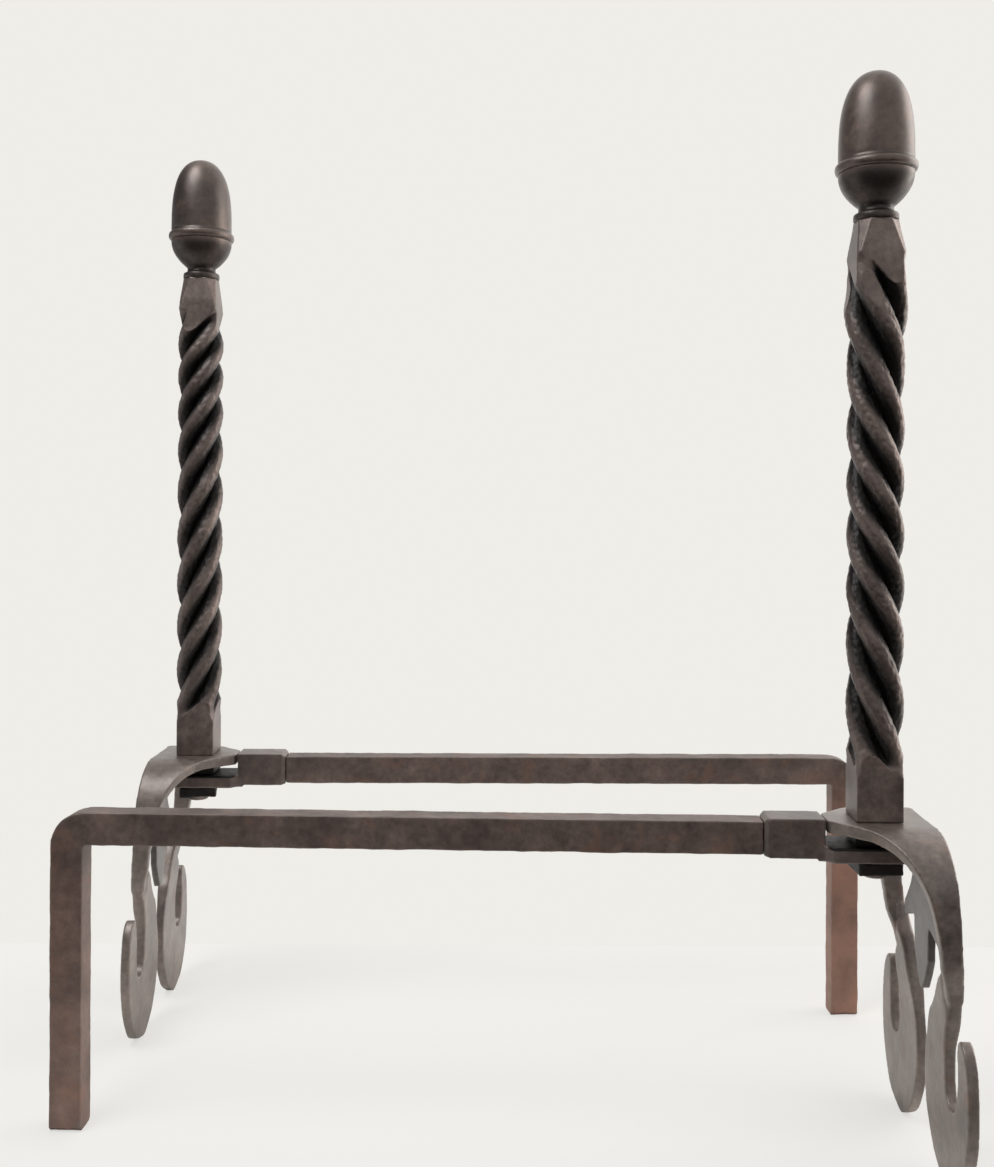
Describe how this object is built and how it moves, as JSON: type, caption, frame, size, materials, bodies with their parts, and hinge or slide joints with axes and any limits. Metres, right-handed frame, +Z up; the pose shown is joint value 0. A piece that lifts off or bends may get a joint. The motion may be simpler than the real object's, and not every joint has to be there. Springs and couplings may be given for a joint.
{
  "type": "andiron pair",
  "caption": "Pair of forged iron andirons with twisted square columns, acorn finials, arched scroll-foot fronts and plain billet bars bent down into rear legs.",
  "frame": {"origin": "middle of the pair's footprint on the floor", "axes": "+Z up, +X along the billet bars towards the near andiron's column, +Y across the bars towards the far andiron"},
  "size_m": [0.507, 0.3254, 0.5991],
  "materials": {
    "forged_arch": "oiled forged iron, soft sheen",
    "drop_plate": "oiled forged iron plate",
    "forged_shoe": "oiled forged iron, soft sheen",
    "forged_bar": "hammered iron with brown patina",
    "twisted_column": "dark hammered iron, waxed",
    "nut_iron": "blackened iron",
    "stud_steel": "plain turned steel",
    "turned_finial": "smooth turned iron, dark wax"
  },
  "bodies": {
    "near_andiron": {"near_front_arch": "forged_arch", "near_centre_drop": "drop_plate", "near_shoe": "forged_shoe", "near_billet_bar": "forged_bar", "near_column": "twisted_column", "near_tenon_nut": "nut_iron", "near_finial_stud": "stud_steel", "near_finial": "turned_finial"},
    "far_andiron": {"far_front_arch": "forged_arch", "far_centre_drop": "drop_plate", "far_shoe": "forged_shoe", "far_billet_bar": "forged_bar", "far_column": "twisted_column", "far_tenon_nut": "nut_iron", "far_finial_stud": "stud_steel", "far_finial": "turned_finial"}
  },
  "joints": [
    {"name": "pair_spacing", "type": "slide", "parent": "near_andiron", "child": "far_andiron", "axis": [0, 1, 0], "range_m": [-0.04, 0.3]}
  ]
}
